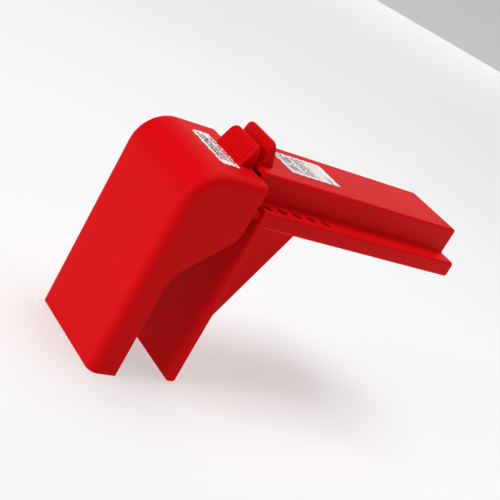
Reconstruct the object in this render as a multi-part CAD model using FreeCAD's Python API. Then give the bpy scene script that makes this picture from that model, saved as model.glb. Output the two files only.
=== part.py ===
import FreeCAD, Part
import math
import os

# Adjustable lockout for a lever-handled valve, in millimetres.
#
# Two red mouldings. The sleeve is a square channel that slips over the lever, with a flange
# along each lower edge and a flat stop plate hanging from its near end. The hood is a deep cap
# that faces the sleeve across the valve: it slides on two rails that run inside the flanges, so
# the pipe is trapped between the stop plate and the hood. Padlocks go through the flange holes.
#
# X runs along the sleeve towards its free end, Y across it, Z up. The origin is the centre of
# the lever channel in the plane of the stop plate's near face.

# Sleeve: the channel over the lever
SLEEVE_LENGTH = 177.3
SLEEVE_NOSE = 2.5
BOX_WIDTH = 52.6
SLEEVE_WALL = 3.2
CHANNEL_HEIGHT = 15.5
CHANNEL_CORNER = 1.5
BOX_EDGE_RADIUS = 2.0
END_EDGE_RADIUS = 0.9

# Flanges: a shelf each side of the channel, with a lip turned down
FLANGE_WIDTH = 81.2
SHELF_THICKNESS = 3.0
LIP_HEIGHT = 11.4
LIP_THICKNESS = 2.2
LIP_FOOT_THICKNESS = 3.6
LIP_TOP_RADIUS = 2.4
LIP_FOOT_RADIUS = 2.4
SHELF_ROOT_RADIUS = 1.2
GUIDE_WALL_THICKNESS = 3.0
GUIDE_LEDGE_WIDTH = 4.5
GUIDE_LEDGE_THICKNESS = 2.5
GUIDE_CORNER_RADIUS = 0.8
NOSE_CORNER_RADIUS = 1.0

# Padlock holes, one row in each flange
HOLE_COUNT = 5
HOLE_PITCH = 12.7
HOLE_RADIUS = 3.5
FIRST_HOLE_X = 5.3
HOLE_ROW_Y = 33.2
HOLE_RIM_CHAMFER = 0.4

# Stop plate and the two ribs that brace it
PLATE_THICKNESS = 4.8
PLATE_DROP = 148.6
PLATE_CORNER_RADIUS = 3.0
PLATE_EDGE_RADIUS = 0.8
SHACKLE_GROOVE_RADIUS = 4.2
SHACKLE_GROOVE_DEPTH = 45.0
RIB_REACH = 53.2
RIB_FOOT_ABOVE_PLATE_END = 1.3
RIB_SINK = 0.5

# Hood: the cap that faces the sleeve
HOOD_WIDTH = 80.2
HOOD_WALL = 2.6
HOOD_BACK_X = -59.1
HOOD_STEP_DOWN = 4.1
HOOD_DROP = 149.5
HOOD_CROWN_RADIUS = 24.0
HOOD_EDGE_RADIUS = 6.2
HOOD_RIM_RADIUS = 1.0
MOUTH_TOP_X = -4.6
MOUTH_X = -6.8
MOUTH_SLOPE_DROP = 12.0
MOUTH_CORNER_RADIUS = 20.0
LEG_INNER_X = -39.4
BEND_RADIUS = 18.0
UPPER_BEND_DROP = 41.5
LOWER_BEND_DROP = 75.1

# Rails of the hood, which run inside the flanges
RAIL_THICKNESS = 4.0
RAIL_CLEARANCE = 0.35
RAIL_END_MARGIN = 8.0
RAIL_ROOT_X = -34.0
RAIL_ROOT_RADIUS = 3.0
RAIL_TIP_RADIUS = 2.5
RAIL_SINK = 1.0

# Thumb tabs: a leaning wedge with fine ridges on its outer face
TAB_WIDTH = 32.0
TAB_CORNER_RADIUS = 4.5
TAB_EDGE_RADIUS = 0.9
TAB_FOOT_DEPTH = 10.6
TAB_TOP_DEPTH = 2.2
TAB_SINK = 1.0
RIDGE_COUNT = 6
RIDGE_RADIUS = 1.1
RIDGE_PROUD = 0.45
RIDGE_LENGTH = 24.0
SLEEVE_TAB_HEIGHT = 15.9
SLEEVE_TAB_FOOT_X = -1.7
SLEEVE_TAB_TOP_X = 0.5
HOOD_TAB_HEIGHT = 14.6
HOOD_TAB_FOOT_X = -4.4
HOOD_TAB_TOP_X = -6.4

# Labels
LABEL_THICKNESS = 0.3
LABEL_CORNER_RADIUS = 1.5
SLEEVE_LABEL = dict(low=(27.5, -12.5), high=(73.5, 17.5))
HOOD_LABEL = dict(low=(-33.0, -21.5), high=(-17.2, 23.0))

# Worked-out levels and faces
CHANNEL_HALF_WIDTH = BOX_WIDTH / 2 - SLEEVE_WALL
SHELF_TOP = -CHANNEL_HEIGHT / 2
SHELF_UNDERSIDE = SHELF_TOP - SHELF_THICKNESS
BOX_TOP = CHANNEL_HEIGHT / 2 + SLEEVE_WALL
LIP_FOOT = SHELF_TOP - LIP_HEIGHT
LIP_INNER_Y = FLANGE_WIDTH / 2 - LIP_THICKNESS
LIP_FOOT_INNER_Y = FLANGE_WIDTH / 2 - LIP_FOOT_THICKNESS
RAIL_SPACE = RAIL_THICKNESS + 2 * RAIL_CLEARANCE
RAIL_FLOOR = SHELF_UNDERSIDE - RAIL_SPACE
GUIDE_OUTER_Y = CHANNEL_HALF_WIDTH
GUIDE_INNER_Y = GUIDE_OUTER_Y - GUIDE_WALL_THICKNESS
PLATE_END = BOX_TOP - PLATE_DROP
HOOD_TOP = BOX_TOP - HOOD_STEP_DOWN
HOOD_END = BOX_TOP - HOOD_DROP
LAST_HOLE_X = FIRST_HOLE_X + (HOLE_COUNT - 1) * HOLE_PITCH

# Cutting bodies run this far past what they cut; lengths closer than TOUCH count as equal
OVERRUN = 5.0
TOUCH = 0.01


def box(low, high):
    """Axis-aligned block between two corners."""
    size = [b - a for a, b in zip(low, high)]
    return Part.makeBox(*size, FreeCAD.Vector(*low))


def rounded_outline(corners, place):
    """Closed wire through (u, v, radius) corners, each rounded by a tangent arc of its radius.

    place turns a (u, v) pair into a point in space.
    """
    points = [FreeCAD.Vector(u, v, 0) for u, v, _ in corners]
    starts = []
    ends = []
    middles = []
    for index, (_, _, radius) in enumerate(corners):
        here = points[index]
        back = (points[index - 1] - here).normalize()
        ahead = (points[(index + 1) % len(points)] - here).normalize()
        half_angle = back.getAngle(ahead) / 2
        run = radius / math.tan(half_angle)
        starts.append(here + back * run)
        ends.append(here + ahead * run)
        bisector = (back + ahead).normalize()
        middles.append(here + bisector * (radius / math.sin(half_angle) - radius))
    edges = []
    for index, (_, _, radius) in enumerate(corners):
        if radius > 0:
            through = [place(p.x, p.y) for p in (starts[index], middles[index], ends[index])]
            edges.append(Part.Arc(*through).toShape())
        here = ends[index]
        following = starts[(index + 1) % len(points)]
        edges.append(Part.makeLine(place(here.x, here.y), place(following.x, following.y)))
    return Part.Wire(edges)


def side_solid(corners, half_width):
    """Outline in the XZ plane, carried across from -Y to +Y."""
    wire = rounded_outline(corners, lambda x, z: FreeCAD.Vector(x, -half_width, z))
    return Part.Face(wire).extrude(FreeCAD.Vector(0, 2 * half_width, 0))


def length_solid(corners, x_low, x_high):
    """Outline in the YZ plane, carried along X."""
    wire = rounded_outline(corners, lambda y, z: FreeCAD.Vector(x_low, y, z))
    return Part.Face(wire).extrude(FreeCAD.Vector(x_high - x_low, 0, 0))


def plan_solid(corners, z_low, z_high):
    """Outline in the XY plane, carried up Z."""
    wire = rounded_outline(corners, lambda x, y: FreeCAD.Vector(x, y, z_low))
    return Part.Face(wire).extrude(FreeCAD.Vector(0, 0, z_high - z_low))


def mirrored_half(half):
    """Corners of a whole outline from its +Y half, mirrored across the Y = 0 plane."""
    return half + [(-y, z, radius) for y, z, radius in reversed(half)]


def both_sides(shape):
    """A shape and its mirror image across the Y = 0 plane."""
    return [shape, shape.mirror(FreeCAD.Vector(0, 0, 0), FreeCAD.Vector(0, 1, 0))]


def edges_where(shape, test):
    """Edges whose middle point passes the test."""
    found = []
    for edge in shape.Edges:
        middle = edge.valueAt((edge.FirstParameter + edge.LastParameter) / 2)
        if test(edge, middle):
            found.append(edge)
    return found


def near(value, target):
    return abs(value - target) < TOUCH


def along_x(edge):
    return edge.BoundBox.YLength < TOUCH and edge.BoundBox.ZLength < TOUCH


def flange_half():
    """The +Y half of the sleeve's outside: box, shelf, lip, and the guide that holds a rail."""
    return [
        (BOX_WIDTH / 2, BOX_TOP, BOX_EDGE_RADIUS),
        (BOX_WIDTH / 2, SHELF_TOP, SHELF_ROOT_RADIUS),
        (FLANGE_WIDTH / 2, SHELF_TOP, LIP_TOP_RADIUS),
        (FLANGE_WIDTH / 2, LIP_FOOT, LIP_FOOT_RADIUS),
        (LIP_FOOT_INNER_Y, LIP_FOOT, 0),
        (LIP_FOOT_INNER_Y, RAIL_FLOOR, 0),
        (LIP_INNER_Y, RAIL_FLOOR, 0),
        (LIP_INNER_Y, SHELF_UNDERSIDE, 0),
        (GUIDE_OUTER_Y, SHELF_UNDERSIDE, 0),
        (GUIDE_OUTER_Y, RAIL_FLOOR, 0),
        (GUIDE_OUTER_Y + GUIDE_LEDGE_WIDTH, RAIL_FLOOR, 0),
        (GUIDE_OUTER_Y + GUIDE_LEDGE_WIDTH, RAIL_FLOOR - GUIDE_LEDGE_THICKNESS, GUIDE_CORNER_RADIUS),
        (GUIDE_INNER_Y, RAIL_FLOOR - GUIDE_LEDGE_THICKNESS, GUIDE_CORNER_RADIUS),
        (GUIDE_INNER_Y, SHELF_UNDERSIDE, GUIDE_CORNER_RADIUS),
    ]


def lever_channel():
    """The space for the lever, open at both ends."""
    half = [
        (CHANNEL_HALF_WIDTH, CHANNEL_HEIGHT / 2, CHANNEL_CORNER),
        (CHANNEL_HALF_WIDTH, -CHANNEL_HEIGHT / 2, CHANNEL_CORNER),
    ]
    return length_solid(mirrored_half(half), -SLEEVE_NOSE - OVERRUN, SLEEVE_LENGTH + OVERRUN)


def sleeve_nose():
    """The short stretch of box that stands past the stop plate."""
    half = [
        (BOX_WIDTH / 2, BOX_TOP, BOX_EDGE_RADIUS),
        (BOX_WIDTH / 2, SHELF_UNDERSIDE, NOSE_CORNER_RADIUS),
    ]
    return length_solid(mirrored_half(half), -SLEEVE_NOSE, 0)


def stop_plate():
    """Flat plate that bears on the pipe, with a slot for each rail and a groove for a shackle."""
    half = [
        (FLANGE_WIDTH / 2, SHELF_TOP, LIP_TOP_RADIUS),
        (FLANGE_WIDTH / 2, PLATE_END, PLATE_CORNER_RADIUS),
    ]
    plate = length_solid(mirrored_half(half), 0, PLATE_THICKNESS)
    lower = edges_where(
        plate, lambda edge, p: p.z < LIP_FOOT - TOUCH and (near(p.x, 0) or near(p.x, PLATE_THICKNESS))
    )
    plate = plate.makeFillet(PLATE_EDGE_RADIUS, lower)
    slot = box(
        (-OVERRUN, GUIDE_OUTER_Y, RAIL_FLOOR),
        (PLATE_THICKNESS + OVERRUN, LIP_INNER_Y, SHELF_UNDERSIDE),
    )
    for half_slot in both_sides(slot):
        plate = plate.cut(half_slot)
    foot = RAIL_FLOOR - SHACKLE_GROOVE_DEPTH
    start = FreeCAD.Vector(FIRST_HOLE_X, HOLE_ROW_Y, foot)
    groove = Part.makeCylinder(SHACKLE_GROOVE_RADIUS, SHACKLE_GROOVE_DEPTH, start)
    groove = groove.fuse(Part.makeSphere(SHACKLE_GROOVE_RADIUS, start))
    for half_groove in both_sides(groove):
        plate = plate.cut(half_groove)
    return plate


def brace_ribs():
    """Two triangular ribs between the stop plate and the underside of the sleeve."""
    corners = [
        (PLATE_THICKNESS - RIB_SINK, SHELF_UNDERSIDE + RIB_SINK, 0),
        (RIB_REACH, SHELF_UNDERSIDE + RIB_SINK, 0),
        (RIB_REACH, SHELF_UNDERSIDE, 0),
        (PLATE_THICKNESS, PLATE_END + RIB_FOOT_ABOVE_PLATE_END, 0),
        (PLATE_THICKNESS - RIB_SINK, PLATE_END + RIB_FOOT_ABOVE_PLATE_END, 0),
    ]
    wire = rounded_outline(corners, lambda x, z: FreeCAD.Vector(x, GUIDE_INNER_Y, z))
    rib = Part.Face(wire).extrude(FreeCAD.Vector(0, GUIDE_WALL_THICKNESS, 0))
    outer_edge = edges_where(rib, lambda edge, p: p.x > PLATE_THICKNESS and p.z < SHELF_UNDERSIDE)
    slanted = [edge for edge in outer_edge if edge.Length > SLEEVE_LENGTH / 2]
    return both_sides(rib.makeFillet(PLATE_EDGE_RADIUS, slanted))


def hole_cutters(z_low, z_high, chamfer_top=None):
    """One upright cutter for each padlock hole, in both flanges."""
    cutters = []
    for index in range(HOLE_COUNT):
        x = FIRST_HOLE_X + index * HOLE_PITCH
        cutter = Part.makeCylinder(HOLE_RADIUS, z_high - z_low, FreeCAD.Vector(x, HOLE_ROW_Y, z_low))
        if chamfer_top is not None:
            rim = Part.makeCone(
                HOLE_RADIUS,
                HOLE_RADIUS + 2 * HOLE_RIM_CHAMFER,
                2 * HOLE_RIM_CHAMFER,
                FreeCAD.Vector(x, HOLE_ROW_Y, chamfer_top - HOLE_RIM_CHAMFER),
            )
            cutter = cutter.fuse(rim)
        cutters += both_sides(cutter)
    return cutters


def thumb_tab(foot_x, top_x, foot_z, height, outward):
    """Leaning wedge tab; outward is -1 or +1 along X, the way its ridged face looks.

    foot_x and top_x are its inner face at the foot and at the top.
    """
    outer_foot = foot_x + outward * TAB_FOOT_DEPTH
    outer_top = top_x + outward * TAB_TOP_DEPTH
    top_z = foot_z + height
    corners = [
        (foot_x, foot_z - TAB_SINK, 0),
        (outer_foot, foot_z - TAB_SINK, 0),
        (outer_foot, foot_z, 0),
        (outer_top, top_z, 0),
        (top_x, top_z, 0),
        (foot_x, foot_z, 0),
    ]
    wedge = side_solid(corners, TAB_WIDTH / 2)
    half_front = [(TAB_WIDTH / 2, top_z, TAB_CORNER_RADIUS), (TAB_WIDTH / 2, foot_z - TAB_SINK, 0)]
    x_low = min(foot_x, outer_foot) - OVERRUN
    x_high = max(foot_x, outer_foot) + OVERRUN
    tab = wedge.common(length_solid(mirrored_half(half_front), x_low, x_high))
    rim = edges_where(tab, lambda edge, p: p.z > foot_z + TOUCH and not along_x(edge))
    tab = tab.makeFillet(TAB_EDGE_RADIUS, rim)
    face_length = math.hypot(outer_top - outer_foot, height)
    along = FreeCAD.Vector((outer_top - outer_foot) / face_length, 0, height / face_length)
    outward_normal = FreeCAD.Vector(outward * along.z, 0, -outward * along.x)
    step = face_length / (RIDGE_COUNT + 2)
    for index in range(RIDGE_COUNT):
        centre = FreeCAD.Vector(outer_foot, 0, foot_z) + along * (step * (index + 1.5))
        centre = centre - outward_normal * (RIDGE_RADIUS - RIDGE_PROUD)
        start = centre - FreeCAD.Vector(0, RIDGE_LENGTH / 2, 0)
        tab = tab.fuse(Part.makeCylinder(RIDGE_RADIUS, RIDGE_LENGTH, start, FreeCAD.Vector(0, 1, 0)))
    return tab


def sleeve():
    """The sleeve moulding: channel, flanges, stop plate, ribs and thumb tab."""
    body = length_solid(mirrored_half(flange_half()), 0, SLEEVE_LENGTH)

    def on_free_end(edge, p):
        outside = p.z > SHELF_TOP - TOUCH or abs(p.y) > LIP_INNER_Y + TOUCH
        return near(p.x, SLEEVE_LENGTH) and outside

    body = body.makeFillet(END_EDGE_RADIUS, edges_where(body, on_free_end))
    body = body.multiFuse([sleeve_nose(), stop_plate()] + brace_ribs())
    body = body.cut(lever_channel())
    for cutter in hole_cutters(RAIL_FLOOR, SHELF_TOP + OVERRUN, chamfer_top=SHELF_TOP):
        body = body.cut(cutter)
    body = body.fuse(thumb_tab(SLEEVE_TAB_FOOT_X, SLEEVE_TAB_TOP_X, BOX_TOP, SLEEVE_TAB_HEIGHT, 1))
    return body.removeSplitter()


def hood_outline():
    """Side view of the hood: back, crowned top, mouth, and the leg that narrows below the valve."""
    return [
        (HOOD_BACK_X, HOOD_END, 0),
        (HOOD_BACK_X, HOOD_TOP, HOOD_CROWN_RADIUS),
        (MOUTH_TOP_X, HOOD_TOP, 0),
        (MOUTH_X, HOOD_TOP - MOUTH_SLOPE_DROP, MOUTH_CORNER_RADIUS),
        (MOUTH_X, BOX_TOP - UPPER_BEND_DROP, BEND_RADIUS),
        (LEG_INNER_X, BOX_TOP - LOWER_BEND_DROP, BEND_RADIUS),
        (LEG_INNER_X, HOOD_END, 0),
    ]


def hood_cavity():
    """Inside of the hood, open towards the sleeve and downwards."""
    corners = [
        (HOOD_BACK_X + HOOD_WALL, HOOD_END - OVERRUN, 0),
        (HOOD_BACK_X + HOOD_WALL, HOOD_TOP - HOOD_WALL, HOOD_CROWN_RADIUS - HOOD_WALL),
        (OVERRUN, HOOD_TOP - HOOD_WALL, 0),
        (OVERRUN, HOOD_END - OVERRUN, 0),
    ]
    cavity = side_solid(corners, HOOD_WIDTH / 2 - HOOD_WALL)
    return cavity.makeFillet(HOOD_EDGE_RADIUS - HOOD_WALL, hood_back_edges(cavity, HOOD_WALL))


def hood_back_edges(shape, inset):
    """The side edges that run up the back, over the crown and along the top."""
    side = HOOD_WIDTH / 2 - inset
    top = HOOD_TOP - inset
    back = HOOD_BACK_X + inset

    def on_back(edge, p):
        if not near(abs(p.y), side):
            return False
        on_crown = p.x < back + HOOD_CROWN_RADIUS and p.z > top - HOOD_CROWN_RADIUS
        return near(p.x, back) or near(p.z, top) or on_crown

    return edges_where(shape, on_back)


def hood_rails():
    """Two flat rails, each joined to a flank and running into the sleeve's flange."""
    top = SHELF_UNDERSIDE - RAIL_CLEARANCE
    x_high = LAST_HOLE_X + RAIL_END_MARGIN
    inner = GUIDE_OUTER_Y + RAIL_CLEARANCE
    outer = LIP_INNER_Y - RAIL_CLEARANCE
    corners = [
        (RAIL_ROOT_X, inner, RAIL_ROOT_RADIUS),
        (x_high, inner, RAIL_TIP_RADIUS),
        (x_high, outer, RAIL_TIP_RADIUS),
        (MOUTH_X - RAIL_SINK, outer, 0),
        (MOUTH_X - RAIL_SINK, HOOD_WIDTH / 2 - RAIL_SINK, 0),
        (RAIL_ROOT_X, HOOD_WIDTH / 2 - RAIL_SINK, 0),
    ]
    return both_sides(plan_solid(corners, top - RAIL_THICKNESS, top))


def hood():
    """The hood moulding: cap, rails and thumb tab."""
    body = side_solid(hood_outline(), HOOD_WIDTH / 2)
    body = body.makeFillet(HOOD_EDGE_RADIUS, hood_back_edges(body, 0))
    body = body.cut(hood_cavity())
    rim = edges_where(body, lambda edge, p: near(p.x, MOUTH_TOP_X) and near(p.z, HOOD_TOP))
    body = body.makeFillet(HOOD_RIM_RADIUS, rim)
    body = body.multiFuse(hood_rails())
    for cutter in hole_cutters(RAIL_FLOOR, SHELF_UNDERSIDE):
        body = body.cut(cutter)
    body = body.fuse(thumb_tab(HOOD_TAB_FOOT_X, HOOD_TAB_TOP_X, HOOD_TOP, HOOD_TAB_HEIGHT, -1))
    return body.removeSplitter()


def label(low, high, z):
    """Thin printed label with rounded corners, lying on a flat top."""
    corners = [
        (low[0], low[1], LABEL_CORNER_RADIUS),
        (high[0], low[1], LABEL_CORNER_RADIUS),
        (high[0], high[1], LABEL_CORNER_RADIUS),
        (low[0], high[1], LABEL_CORNER_RADIUS),
    ]
    return plan_solid(corners, z, z + LABEL_THICKNESS)


def export(name, shape):
    if shape.ShapeType != "Solid":
        shape = shape.Solids[0]
    shape.exportStep(os.path.join("parts", name + ".step"))


def main():
    os.makedirs("parts", exist_ok=True)
    export("sleeve", sleeve())
    export("hood", hood())
    export("sleeve_label", label(z=BOX_TOP, **SLEEVE_LABEL))
    export("hood_label", label(z=HOOD_TOP, **HOOD_LABEL))


main()
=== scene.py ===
"""Looks of an adjustable lockout for a lever valve: two red mouldings, two printed labels, a studio."""

import bmesh
import bpy
import numpy as np
from bpy.props import FloatProperty, FloatVectorProperty, IntProperty, PointerProperty
from bpy.types import Operator, Panel, PropertyGroup
from mathutils import Matrix, Vector


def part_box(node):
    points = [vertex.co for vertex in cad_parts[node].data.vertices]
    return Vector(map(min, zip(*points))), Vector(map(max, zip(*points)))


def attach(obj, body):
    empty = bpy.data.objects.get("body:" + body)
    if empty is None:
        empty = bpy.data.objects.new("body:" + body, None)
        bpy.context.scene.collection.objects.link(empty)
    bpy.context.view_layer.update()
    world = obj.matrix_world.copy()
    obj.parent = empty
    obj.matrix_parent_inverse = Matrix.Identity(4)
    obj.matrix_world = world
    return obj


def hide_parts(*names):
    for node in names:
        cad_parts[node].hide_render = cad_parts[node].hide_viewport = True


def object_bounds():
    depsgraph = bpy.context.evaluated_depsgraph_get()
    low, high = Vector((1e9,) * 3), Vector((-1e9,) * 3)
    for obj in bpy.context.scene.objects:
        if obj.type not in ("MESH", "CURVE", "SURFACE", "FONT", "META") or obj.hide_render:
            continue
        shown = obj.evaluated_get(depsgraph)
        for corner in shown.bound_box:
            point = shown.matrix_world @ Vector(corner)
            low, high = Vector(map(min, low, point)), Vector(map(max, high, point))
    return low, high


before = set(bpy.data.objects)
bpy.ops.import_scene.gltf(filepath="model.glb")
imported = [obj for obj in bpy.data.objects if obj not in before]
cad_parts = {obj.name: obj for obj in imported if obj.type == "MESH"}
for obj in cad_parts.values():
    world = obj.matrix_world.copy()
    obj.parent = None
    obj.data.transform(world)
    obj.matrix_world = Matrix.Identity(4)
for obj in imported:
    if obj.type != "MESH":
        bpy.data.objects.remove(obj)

bl_info = {
    "name": "Valve Lockout",
    "version": (1, 0, 0),
    "blender": (4, 5, 0),
    "location": "View3D > Sidebar > Lockout",
    "description": "Finishes the mouldings of a valve lockout, prints its labels and sets up a studio",
    "category": "Object",
}

MM = 0.001
CAD_LOW, CAD_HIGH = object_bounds()
WHITE = (1, 1, 1, 1)

# Moulded skin: how far the second red spreads, and how much wear and grain change the roughness
DRIFT_SCALE, DRIFT_START, DRIFT_GAIN = 14.0, 0.35, 2.2
SCUFF_STRETCH = (12.0, 160.0, 160.0)
SCUFF_ROUGHNESS, GRAIN_ROUGHNESS = 0.22, 0.10
GRAIN_BUMP = 0.35
PLASTIC_IOR, PLASTIC_SPECULAR = 1.5, 0.05

# Print: noise cells across a row for each half width, and the contrast that breaks a row into marks
CELL_WIDTH, CELL_CONTRAST = 1.6, 2.4
ROW_SEED_STEP = 3.7

# Vinyl: its faint mottle, in colour, roughness and height
MOTTLE_SCALE, MOTTLE_SHADE = 260.0, 0.95
VINYL_ROUGHNESS, MOTTLE_ROUGHNESS = 0.35, 0.2
MOTTLE_BUMP, MOTTLE_DEPTH = 0.2, 0.00005

# Label sheet: share of it over which its edge rounds down, its worn edge's three sines, its weld
EDGE_SHARE = 0.03
WANDER_RATES, WANDER_SEEDS = (13, 29, 67), (1, 2.3, 4.1)
WELD_DISTANCE = 1e-7
FAINT_INK = (0.3, 0.3, 0.31)

# Floor: grid, gap under the lowest point, rise past its inner circle, and its own mottle and finish
FLOOR_STEPS, FLOOR_GAP, FLOOR_RISE = 25, 0.0002, 0.02
FLOOR_MOTTLE_SCALE, FLOOR_SHADE = 40.0, 0.985
FLOOR_ROUGHNESS, FLOOR_SPECULAR = 0.9, 0.1
BACKDROP_STRENGTH = 0.54

# Lights: place and size
KEY_PLACE, KEY_SIZE = (-1.6, 0.05, 0.5), 0.9
TOP_PLACE, TOP_SIZE = (0.15, 0.15, 1.6), 1.2
FILL_PLACE, FILL_SIZE = (0.62, -0.34, -0.04), 0.4
RIM_PLACE, RIM_SIZE = (1.7, 1.8, 0.8), 2.2

# Camera: where it stands and how it is turned, by its right and up directions
CAMERA_PLACE = (-0.4660, -0.5436, 0.1971)
CAMERA_RIGHT = (0.7407, -0.4716, 0.4785)
CAMERA_UP = (-0.1811, 0.5457, 0.8182)
SENSOR_WIDTH, CLIP_START, CLIP_END = 36.0, 0.01, 50.0


# ---------------------------------------------------------------- settings


class MouldingSettings(PropertyGroup):
    """Colour and surface of the red mouldings."""

    red: FloatVectorProperty(
        name="Red", description="Main colour of the plastic", subtype="COLOR", size=3,
        min=0, max=1, default=(0.74, 0.0015, 0.004))
    deep_red: FloatVectorProperty(
        name="Deep red", description="Colour where the melt flowed a little darker", subtype="COLOR", size=3,
        min=0, max=1, default=(0.69, 0.0012, 0.003))
    grain_size: FloatProperty(
        name="Grain size", description="Width of one grain of the tool's spark finish",
        unit="LENGTH", default=0.0009, min=0.0001, max=0.01)
    grain_depth: FloatProperty(
        name="Grain depth", description="Height of the spark finish", unit="LENGTH", default=0.00003, min=0)
    roughness: FloatProperty(
        name="Roughness", description="How satin the plastic is", subtype="FACTOR",
        default=0.55, min=0, max=1)


class LabelSettings(PropertyGroup):
    """Size and print of the labels."""

    thickness: FloatProperty(
        name="Thickness", description="Thickness of the vinyl", unit="LENGTH", default=0.00025, min=0.00005)
    corner_radius: FloatProperty(
        name="Corner radius", description="Rounding of the label's corners",
        unit="LENGTH", default=0.0015, min=0)
    ragged: FloatProperty(
        name="Worn edge", description="How far the worn edge wanders in from the cut line",
        unit="LENGTH", default=0.0021, min=0)
    paper: FloatVectorProperty(
        name="Vinyl", description="Colour of the vinyl", subtype="COLOR", size=3,
        min=0, max=1, default=(0.97, 0.965, 0.96))
    ink: FloatVectorProperty(
        name="Ink", description="Colour of the dark print", subtype="COLOR", size=3,
        min=0, max=1, default=(0.012, 0.012, 0.015))
    grey_ink: FloatVectorProperty(
        name="Grey ink", description="Colour of the lighter print", subtype="COLOR", size=3,
        min=0, max=1, default=(0.10, 0.10, 0.11))
    steps: IntProperty(
        name="Steps", description="Grid steps along and across a label", default=120, min=8, max=250)


class StageSettings(PropertyGroup):
    """Floor, lights and camera."""

    floor_size: FloatProperty(
        name="Floor size", description="Side of the floor", unit="LENGTH", default=12.0, min=1)
    floor_colour: FloatVectorProperty(
        name="Floor colour", description="Colour of the floor", subtype="COLOR", size=3,
        min=0, max=1, default=(0.5, 0.5, 0.5))
    floor_glow: FloatProperty(
        name="Floor glow", description="Light given off by the floor", default=0.5, min=0)
    key_power: FloatProperty(
        name="Key power", description="Power of the large light beside the hood", unit="POWER",
        default=14.5, min=0)
    top_power: FloatProperty(
        name="Top power", description="Power of the overhead light", unit="POWER", default=21.0, min=0)
    fill_power: FloatProperty(
        name="Fill power", description="Power of the low light beside the flange", unit="POWER",
        default=1.1, min=0)
    rim_power: FloatProperty(
        name="Rim power", description="Power of the wide light behind the sleeve", unit="POWER",
        default=16.0, min=0)
    ambient: FloatProperty(
        name="Ambient", description="Strength of the light from all round", default=0.05, min=0)
    lens: FloatProperty(
        name="Lens", description="Focal length of the camera", unit="CAMERA", default=86.21, min=10)


# ---------------------------------------------------------------- node helpers


def add_node(tree, kind, **values):
    """A node of that kind, with attributes and input defaults set from values."""
    node = tree.nodes.new(kind)
    for name, value in values.items():
        if hasattr(node, name):
            setattr(node, name, value)
        else:
            node.inputs[name.replace("_", " ")].default_value = value
    return node


def math_node(tree, operation, first, second=None, clamp=False):
    """One arithmetic step; each operand is a socket or a number."""
    node = tree.nodes.new("ShaderNodeMath")
    node.operation = operation
    node.use_clamp = clamp
    for socket, value in zip(node.inputs, (first, second)):
        if value is None:
            continue
        if isinstance(value, (int, float)):
            socket.default_value = value
        else:
            tree.links.new(value, socket)
    return node.outputs[0]


def mix_colour(tree, factor, first, second):
    """first where factor is 0, second where it is 1; each colour is a socket or a tuple."""
    node = tree.nodes.new("ShaderNodeMix")
    node.data_type = "RGBA"
    for name, value in (("Factor", factor), ("A", first), ("B", second)):
        socket = [s for s in node.inputs if s.name == name and s.enabled][0]
        if isinstance(value, (int, float, tuple)):
            socket.default_value = value
        else:
            tree.links.new(value, socket)
    return [s for s in node.outputs if s.enabled][0]


def centred_noise(tree, noise, size):
    """A noise node's value taken about its middle and multiplied by size."""
    return math_node(tree, "MULTIPLY", math_node(tree, "SUBTRACT", noise.outputs["Fac"], 0.5), size)


def rgba(colour, shade=1.0):
    """A colour darkened by shade, with full alpha."""
    return (shade * colour[0], shade * colour[1], shade * colour[2], 1.0)


def new_group(name, inputs, outputs):
    """Empty shader node group with the named sockets, and its two end nodes."""
    group = bpy.data.node_groups.new(name, "ShaderNodeTree")
    for label, kind, default in inputs:
        socket = group.interface.new_socket(label, in_out="INPUT", socket_type=kind)
        if default is not None:
            socket.default_value = default
    for label, kind in outputs:
        group.interface.new_socket(label, in_out="OUTPUT", socket_type=kind)
    return group, group.nodes.new("NodeGroupInput"), group.nodes.new("NodeGroupOutput")


def moulded_skin_group():
    """Satin moulded plastic: a slow drift between two reds, a fine spark grain and faint handling marks."""
    name = "Moulded Skin"
    if name in bpy.data.node_groups:
        return bpy.data.node_groups[name]
    group, start, end = new_group(
        name,
        [("Vector", "NodeSocketVector", None), ("Main Colour", "NodeSocketColor", (1, 0, 0, 1)),
         ("Deep Colour", "NodeSocketColor", (0.8, 0, 0, 1)), ("Grain Scale", "NodeSocketFloat", 1000.0),
         ("Roughness", "NodeSocketFloat", 0.4)],
        [("Colour", "NodeSocketColor"), ("Roughness", "NodeSocketFloat"), ("Height", "NodeSocketFloat")],
    )
    links = group.links
    drift = add_node(group, "ShaderNodeTexNoise", Scale=DRIFT_SCALE, Detail=3.0, Roughness=0.55)
    links.new(start.outputs["Vector"], drift.inputs["Vector"])
    above = math_node(group, "SUBTRACT", drift.outputs["Fac"], DRIFT_START)
    flow = math_node(group, "MULTIPLY", above, DRIFT_GAIN, clamp=True)
    red = mix_colour(group, flow, start.outputs["Main Colour"], start.outputs["Deep Colour"])
    links.new(red, end.inputs["Colour"])
    grain = add_node(group, "ShaderNodeTexNoise", Detail=2.0, Roughness=0.6)
    links.new(start.outputs["Vector"], grain.inputs["Vector"])
    links.new(start.outputs["Grain Scale"], grain.inputs["Scale"])
    links.new(grain.outputs["Fac"], end.inputs["Height"])
    stretch = add_node(group, "ShaderNodeMapping")
    stretch.inputs["Scale"].default_value = SCUFF_STRETCH
    links.new(start.outputs["Vector"], stretch.inputs["Vector"])
    scuffs = add_node(group, "ShaderNodeTexNoise", Scale=3.0, Detail=4.0, Roughness=0.7)
    links.new(stretch.outputs["Vector"], scuffs.inputs["Vector"])
    worn = centred_noise(group, scuffs, SCUFF_ROUGHNESS)
    speck = centred_noise(group, grain, GRAIN_ROUGHNESS)
    scuffed = math_node(group, "ADD", start.outputs["Roughness"], worn)
    links.new(math_node(group, "ADD", scuffed, speck, clamp=True), end.inputs["Roughness"])
    return group


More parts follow.
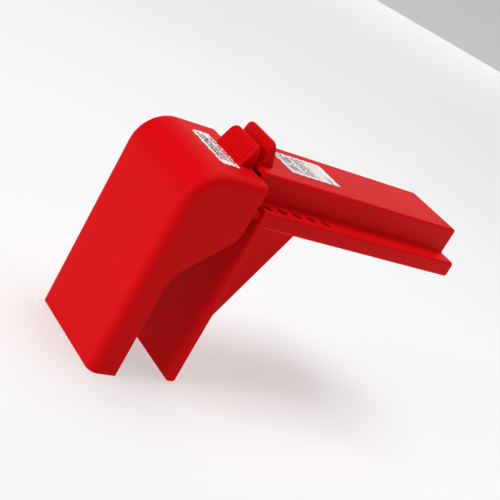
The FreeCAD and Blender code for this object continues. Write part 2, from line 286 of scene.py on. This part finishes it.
def print_row_group():
    """One row of marks: 1 inside the band across x and between the ends along y, broken up by noise."""
    name = "Print Row"
    if name in bpy.data.node_groups:
        return bpy.data.node_groups[name]
    group, start, end = new_group(
        name,
        [("Vector", "NodeSocketVector", None), ("Centre", "NodeSocketFloat", 0.0),
         ("Half Width", "NodeSocketFloat", 0.001), ("Low", "NodeSocketFloat", -0.01),
         ("High", "NodeSocketFloat", 0.01), ("Dash", "NodeSocketFloat", 0.002),
         ("Fill", "NodeSocketFloat", 0.5), ("Seed", "NodeSocketFloat", 0.0)],
        [("Mask", "NodeSocketFloat")],
    )
    value = start.outputs
    axes = group.nodes.new("ShaderNodeSeparateXYZ")
    group.links.new(value["Vector"], axes.inputs[0])
    offset = math_node(group, "SUBTRACT", axes.outputs["X"], value["Centre"])
    from_centre = math_node(group, "ABSOLUTE", offset)
    across = math_node(group, "LESS_THAN", from_centre, value["Half Width"])
    after_low = math_node(group, "GREATER_THAN", axes.outputs["Y"], value["Low"])
    before_high = math_node(group, "LESS_THAN", axes.outputs["Y"], value["High"])
    along = math_node(group, "DIVIDE", axes.outputs["Y"], value["Dash"])
    cell_width = math_node(group, "MULTIPLY", value["Half Width"], CELL_WIDTH)
    cross = math_node(group, "DIVIDE", axes.outputs["X"], cell_width)
    cell = group.nodes.new("ShaderNodeCombineXYZ")
    group.links.new(cross, cell.inputs["X"])
    group.links.new(along, cell.inputs["Y"])
    group.links.new(value["Seed"], cell.inputs["Z"])
    noise = add_node(group, "ShaderNodeTexNoise", Scale=1.0, Detail=1.0)
    group.links.new(cell.outputs[0], noise.inputs["Vector"])
    spread = math_node(group, "ADD", centred_noise(group, noise, CELL_CONTRAST), 0.5)
    inked = math_node(group, "LESS_THAN", spread, value["Fill"])
    mask = math_node(group, "MULTIPLY", math_node(group, "MULTIPLY", across, after_low), before_high)
    group.links.new(math_node(group, "MULTIPLY", mask, inked), end.inputs["Mask"])
    return group


def place_group(tree, group, **values):
    """The group as a node in a material, with its inputs set; keys use _ for a space."""
    node = tree.nodes.new("ShaderNodeGroup")
    node.node_tree = group
    for key, value in values.items():
        node.inputs[key.replace("_", " ")].default_value = value
    return node


def fresh_material(name):
    """Empty node material with a Principled shader wired to its output."""
    material = bpy.data.materials.new(name)
    material.use_nodes = True
    tree = material.node_tree
    tree.nodes.clear()
    shader = tree.nodes.new("ShaderNodeBsdfPrincipled")
    output = tree.nodes.new("ShaderNodeOutputMaterial")
    tree.links.new(shader.outputs["BSDF"], output.inputs["Surface"])
    return material, tree, shader


def moulding_material(settings):
    """Red satin plastic, from Object coordinates."""
    name = "red moulding"
    if name in bpy.data.materials:
        return bpy.data.materials[name]
    material, tree, shader = fresh_material(name)
    coords = tree.nodes.new("ShaderNodeTexCoord")
    skin = place_group(
        tree, moulded_skin_group(), Main_Colour=rgba(settings.red), Deep_Colour=rgba(settings.deep_red),
        Grain_Scale=1.0 / settings.grain_size, Roughness=settings.roughness)
    tree.links.new(coords.outputs["Object"], skin.inputs["Vector"])
    tree.links.new(skin.outputs["Colour"], shader.inputs["Base Color"])
    tree.links.new(skin.outputs["Roughness"], shader.inputs["Roughness"])
    bump = add_node(tree, "ShaderNodeBump", Strength=GRAIN_BUMP, Distance=settings.grain_depth)
    tree.links.new(skin.outputs["Height"], bump.inputs["Height"])
    tree.links.new(bump.outputs["Normal"], shader.inputs["Normal"])
    shader.inputs["IOR"].default_value = PLASTIC_IOR
    shader.inputs["Specular IOR Level"].default_value = PLASTIC_SPECULAR
    return material


def label_material(name, low, high, settings, rows):
    """Satin white vinyl, printed with rows of broken marks.

    rows holds (ink, centre, half width, low, high, dash, fill) with lengths in mm from the label's middle.
    """
    material, tree, shader = fresh_material(name)
    coords = tree.nodes.new("ShaderNodeTexCoord")
    centred = tree.nodes.new("ShaderNodeMapping")
    middle = (low + high) / 2
    centred.inputs["Location"].default_value = (-middle.x, -middle.y, 0)
    tree.links.new(coords.outputs["Object"], centred.inputs["Vector"])
    mottle = add_node(tree, "ShaderNodeTexNoise", Scale=MOTTLE_SCALE, Detail=3.0)
    tree.links.new(coords.outputs["Object"], mottle.inputs["Vector"])
    colour = mix_colour(
        tree, mottle.outputs["Fac"], rgba(settings.paper), rgba(settings.paper, MOTTLE_SHADE))
    for index, (ink, centre, half_width, start, stop, dash, fill) in enumerate(rows):
        row = place_group(
            tree, print_row_group(), Centre=centre * MM, Half_Width=half_width * MM, Low=start * MM,
            High=stop * MM, Dash=dash * MM, Fill=fill, Seed=ROW_SEED_STEP * index)
        tree.links.new(centred.outputs["Vector"], row.inputs["Vector"])
        colour = mix_colour(tree, row.outputs["Mask"], colour, rgba(ink))
    tree.links.new(colour, shader.inputs["Base Color"])
    uneven = math_node(tree, "MULTIPLY", mottle.outputs["Fac"], MOTTLE_ROUGHNESS)
    tree.links.new(math_node(tree, "ADD", uneven, VINYL_ROUGHNESS), shader.inputs["Roughness"])
    bump = add_node(tree, "ShaderNodeBump", Strength=MOTTLE_BUMP, Distance=MOTTLE_DEPTH)
    tree.links.new(mottle.outputs["Fac"], bump.inputs["Height"])
    tree.links.new(bump.outputs["Normal"], shader.inputs["Normal"])
    return material


# ---------------------------------------------------------------- pieces


def finish_moulding(node_name, settings):
    """Gives a CAD moulding its material."""
    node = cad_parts[node_name]
    for slot in node.material_slots:
        slot.material = moulding_material(settings)


class LOCKOUT_OT_sleeve(Operator):
    """Finish the sleeve moulding"""

    bl_idname = "lockout.sleeve"
    bl_label = "Sleeve"

    def execute(self, context):
        finish_moulding("sleeve", context.scene.lockout_moulding)
        return {"FINISHED"}


class LOCKOUT_OT_hood(Operator):
    """Finish the hood moulding"""

    bl_idname = "lockout.hood"
    bl_label = "Hood"

    def execute(self, context):
        finish_moulding("hood", context.scene.lockout_moulding)
        return {"FINISHED"}


def grid_faces(count):
    """Corner numbers of the quads of a grid with count points a side, row after row."""
    corner = (np.arange(count - 1)[:, None] * count + np.arange(count - 1)).ravel()
    return np.stack([corner, corner + 1, corner + count + 1, corner + count], axis=-1)


def wander(turns, seed):
    """Worn edge from 0 to 1 along turns: 0.5 + sum(sin(rate turns + share seed)) / 6, over three sines."""
    waves = sum(np.sin(rate * turns + share * seed) for rate, share in zip(WANDER_RATES, WANDER_SEEDS))
    return 0.5 + waves / 6


def label_sheet(name, low, high, settings, seed):
    """Thin sheet with rounded corners and a slightly worn edge, lying on z = low.z.

    For u and v from -1 to 1: y = v (h - ragged wander) and x = u (w - ragged wander), about the middle,
    where h is half the length and w = half width - r + sqrt(r^2 - max(0, |v h| - h + r)^2) draws the
    rounded corners. Each of the four edges wanders by its own seed. The top is
    z = low.z + thickness sqrt(min(1, (1 - max(|u|, |v|)) / EDGE_SHARE)), so it closes on the flat underside.
    """
    steps = np.linspace(-1, 1, settings.steps + 1)
    u, v = np.meshgrid(steps, steps)
    half_width, half_length = (high.x - low.x) / 2, (high.y - low.y) / 2
    radius = settings.corner_radius
    into_corner = np.clip(np.abs(v) * half_length - half_length + radius, 0, radius)
    width = half_width - radius + np.sqrt(radius**2 - into_corner**2)
    width = width - settings.ragged * wander(v, seed + np.sign(u))
    length = half_length - settings.ragged * wander(u * half_width / half_length, seed + 2 * np.sign(v))
    rise = np.sqrt(np.clip((1 - np.maximum(np.abs(u), np.abs(v))) / EDGE_SHARE, 0, 1))
    middle = (low + high) / 2
    x, y = middle.x + u * width, middle.y + v * length
    top = np.stack([x, y, low.z + settings.thickness * rise], axis=-1).reshape(-1, 3)
    under = np.stack([x, y, np.full_like(x, low.z)], axis=-1).reshape(-1, 3)
    faces = grid_faces(len(steps))
    both = np.vstack([faces, faces[:, ::-1] + len(steps) ** 2])
    mesh = bpy.data.meshes.new(name)
    mesh.from_pydata(np.vstack([top, under]).tolist(), [], both.tolist())
    shell = bmesh.new()
    shell.from_mesh(mesh)
    bmesh.ops.remove_doubles(shell, verts=shell.verts, dist=WELD_DISTANCE)
    shell.to_mesh(mesh)
    shell.free()
    mesh.shade_smooth()
    sheet = bpy.data.objects.new(name, mesh)
    bpy.context.scene.collection.objects.link(sheet)
    return sheet


def fit_label(node_name, body, settings, seed, rows):
    """Makes the printed sheet that stands for a CAD label; label_material says what rows holds."""
    low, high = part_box(node_name)
    sheet = label_sheet(node_name + "_print", low, high, settings, seed)
    sheet.data.materials.append(label_material(node_name + " print", low, high, settings, rows))
    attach(sheet, body)
    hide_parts(node_name)


class LOCKOUT_OT_sleeve_label(Operator):
    """Print the label on the sleeve: two dark rows, a grey block, faint lines and red rows between"""

    bl_idname = "lockout.sleeve_label"
    bl_label = "Sleeve label"

    def execute(self, context):
        settings = context.scene.lockout_labels
        dark, grey = tuple(settings.ink), tuple(settings.grey_ink)
        red = tuple(context.scene.lockout_moulding.red)
        rows = [
            (red, -18.8, 0.7, -9.0, 12.5, 5.0, 0.6),
            (dark, -15.6, 1.3, -9.5, 12.0, 1.5, 0.68),
            (dark, -12.0, 1.3, -11.0, 10.5, 1.5, 0.68),
            (red, -8.9, 0.7, -12.0, 12.5, 4.0, 0.6),
        ]
        rows += [(grey, -6.4 + 1.6 * k, 0.6, -11.5, 12.0, 1.3, 0.68) for k in range(6)]
        rows += [(red, 3.6, 0.7, -12.5, 12.5, 4.0, 0.6)]
        rows += [(FAINT_INK, 6.2 + 2.4 * k, 0.28, -12.0, 12.0, 30.0, 0.8) for k in range(5)]
        rows += [(grey, 13.4 + 1.5 * k, 0.45, -12.0, -4.5, 2.5, 0.6) for k in range(3)]
        fit_label("sleeve_label", "sleeve", settings, seed=1.3, rows=rows)
        return {"FINISHED"}


class LOCKOUT_OT_hood_label(Operator):
    """Print the label on the hood: two bold rows, a red row and two thinner rows of marks"""

    bl_idname = "lockout.hood_label"
    bl_label = "Hood label"

    def execute(self, context):
        settings = context.scene.lockout_labels
        dark = tuple(settings.ink)
        red = tuple(context.scene.lockout_moulding.red)
        rows = [(dark, -3.6 + 2.9 * k, 1.35, -15.5, 18.0, 1.2, 0.64) for k in range(2)]
        rows += [(red, 1.4, 0.65, -17.0, 17.0, 3.5, 0.62)]
        rows += [(dark, 3.9 + 1.5 * k, 0.7, -19.0, 15.0, 1.3, 0.62) for k in range(2)]
        fit_label("hood_label", "hood", settings, seed=2.6, rows=rows)
        return {"FINISHED"}


def make_floor(settings):
    """Square floor just under the lowest point.

    For u and v from -1 to 1 and half its side h: x = u h, y = v h, and z rises by
    FLOOR_RISE (hypot(u, v) - 1)^2 past the circle that touches its sides, so only its far corners lift.
    """
    steps = np.linspace(-1, 1, FLOOR_STEPS)
    u, v = np.meshgrid(steps, steps)
    half = settings.floor_size / 2
    lift = FLOOR_RISE * np.clip(np.hypot(u, v) - 1.0, 0, None) ** 2
    points = np.stack([u * half, v * half, CAD_LOW.z - FLOOR_GAP + lift], axis=-1).reshape(-1, 3)
    mesh = bpy.data.meshes.new("studio_floor")
    mesh.from_pydata(points.tolist(), [], grid_faces(FLOOR_STEPS).tolist())
    floor = bpy.data.objects.new("studio_floor", mesh)
    bpy.context.scene.collection.objects.link(floor)
    material, tree, shader = fresh_material("studio paper")
    coords = tree.nodes.new("ShaderNodeTexCoord")
    mottle = add_node(tree, "ShaderNodeTexNoise", Scale=FLOOR_MOTTLE_SCALE, Detail=2.0)
    tree.links.new(coords.outputs["Object"], mottle.inputs["Vector"])
    base, darker = rgba(settings.floor_colour), rgba(settings.floor_colour, FLOOR_SHADE)
    tree.links.new(mix_colour(tree, mottle.outputs["Fac"], base, darker), shader.inputs["Base Color"])
    shader.inputs["Roughness"].default_value = FLOOR_ROUGHNESS
    shader.inputs["Specular IOR Level"].default_value = FLOOR_SPECULAR
    shader.inputs["Emission Color"].default_value = WHITE
    shader.inputs["Emission Strength"].default_value = settings.floor_glow
    mesh.materials.append(material)


def area_light(name, place, target, size, power):
    """Square soft white light at place, looking at target."""
    data = bpy.data.lights.new(name, "AREA")
    data.shape = "SQUARE"
    data.size = size
    data.energy = power
    light = bpy.data.objects.new(name, data)
    bpy.context.scene.collection.objects.link(light)
    place, target = Vector(place), Vector(target)
    light.visible_camera = False
    light.location = place
    light.rotation_mode = "QUATERNION"
    light.rotation_quaternion = (target - place).to_track_quat("-Z", "Y")


def make_world(ambient):
    """Even surroundings that light a little; the backdrop itself shows as pale as the far floor."""
    world = bpy.data.worlds.new("studio")
    bpy.context.scene.world = world
    world.use_nodes = True
    tree = world.node_tree
    tree.nodes.clear()
    around = add_node(tree, "ShaderNodeBackground", Color=WHITE, Strength=ambient)
    backdrop = add_node(tree, "ShaderNodeBackground", Color=WHITE, Strength=BACKDROP_STRENGTH)
    path = tree.nodes.new("ShaderNodeLightPath")
    mix = tree.nodes.new("ShaderNodeMixShader")
    output = tree.nodes.new("ShaderNodeOutputWorld")
    tree.links.new(path.outputs["Is Camera Ray"], mix.inputs["Fac"])
    tree.links.new(around.outputs[0], mix.inputs[1])
    tree.links.new(backdrop.outputs[0], mix.inputs[2])
    tree.links.new(mix.outputs[0], output.inputs["Surface"])


def make_camera(lens):
    """Camera on the hood's side of the lockout, tilted to its left."""
    data = bpy.data.cameras.new("camera")
    data.sensor_width = SENSOR_WIDTH
    data.lens = lens
    data.clip_start = CLIP_START
    data.clip_end = CLIP_END
    camera = bpy.data.objects.new("camera", data)
    bpy.context.scene.collection.objects.link(camera)
    right = Vector(CAMERA_RIGHT).normalized()
    back = right.cross(Vector(CAMERA_UP)).normalized()
    up = back.cross(right)
    turn = Matrix((right, up, back)).transposed().to_4x4()
    camera.matrix_world = Matrix.Translation(CAMERA_PLACE) @ turn
    bpy.context.scene.camera = camera


class LOCKOUT_OT_stage(Operator):
    """Lay the floor and set the lights and camera"""

    bl_idname = "lockout.stage"
    bl_label = "Stage"

    def execute(self, context):
        settings = context.scene.lockout_stage
        context.scene.view_settings.view_transform = "Standard"
        middle = (CAD_LOW + CAD_HIGH) / 2
        make_floor(settings)
        area_light("key", KEY_PLACE, middle, KEY_SIZE, settings.key_power)
        area_light("top", TOP_PLACE, middle, TOP_SIZE, settings.top_power)
        area_light("fill", FILL_PLACE, middle, FILL_SIZE, settings.fill_power)
        area_light("rim", RIM_PLACE, middle, RIM_SIZE, settings.rim_power)
        make_world(settings.ambient)
        make_camera(settings.lens)
        return {"FINISHED"}


class LOCKOUT_PT_panel(Panel):
    """Makes each part of the lockout"""

    bl_idname = "LOCKOUT_PT_panel"
    bl_label = "Valve Lockout"
    bl_space_type = "VIEW_3D"
    bl_region_type = "UI"
    bl_category = "Lockout"

    def draw(self, context):
        scene = context.scene
        for settings in (scene.lockout_moulding, scene.lockout_labels, scene.lockout_stage):
            column = self.layout.column()
            for name in settings.__annotations__:
                column.prop(settings, name)
        for operator in PIECE_OPERATORS:
            self.layout.operator(operator.bl_idname)


PIECE_OPERATORS = (
    LOCKOUT_OT_sleeve, LOCKOUT_OT_hood, LOCKOUT_OT_sleeve_label, LOCKOUT_OT_hood_label, LOCKOUT_OT_stage)
CLASSES = (MouldingSettings, LabelSettings, StageSettings) + PIECE_OPERATORS + (LOCKOUT_PT_panel,)


def register():
    for item in CLASSES:
        bpy.utils.register_class(item)
    bpy.types.Scene.lockout_moulding = PointerProperty(type=MouldingSettings)
    bpy.types.Scene.lockout_labels = PointerProperty(type=LabelSettings)
    bpy.types.Scene.lockout_stage = PointerProperty(type=StageSettings)


def unregister():
    del bpy.types.Scene.lockout_stage
    del bpy.types.Scene.lockout_labels
    del bpy.types.Scene.lockout_moulding
    for item in reversed(CLASSES):
        bpy.utils.unregister_class(item)


def main():
    register()
    for operator in PIECE_OPERATORS:
        module, name = operator.bl_idname.split(".")
        getattr(getattr(bpy.ops, module), name)()


if __name__ == "__main__":
    main()
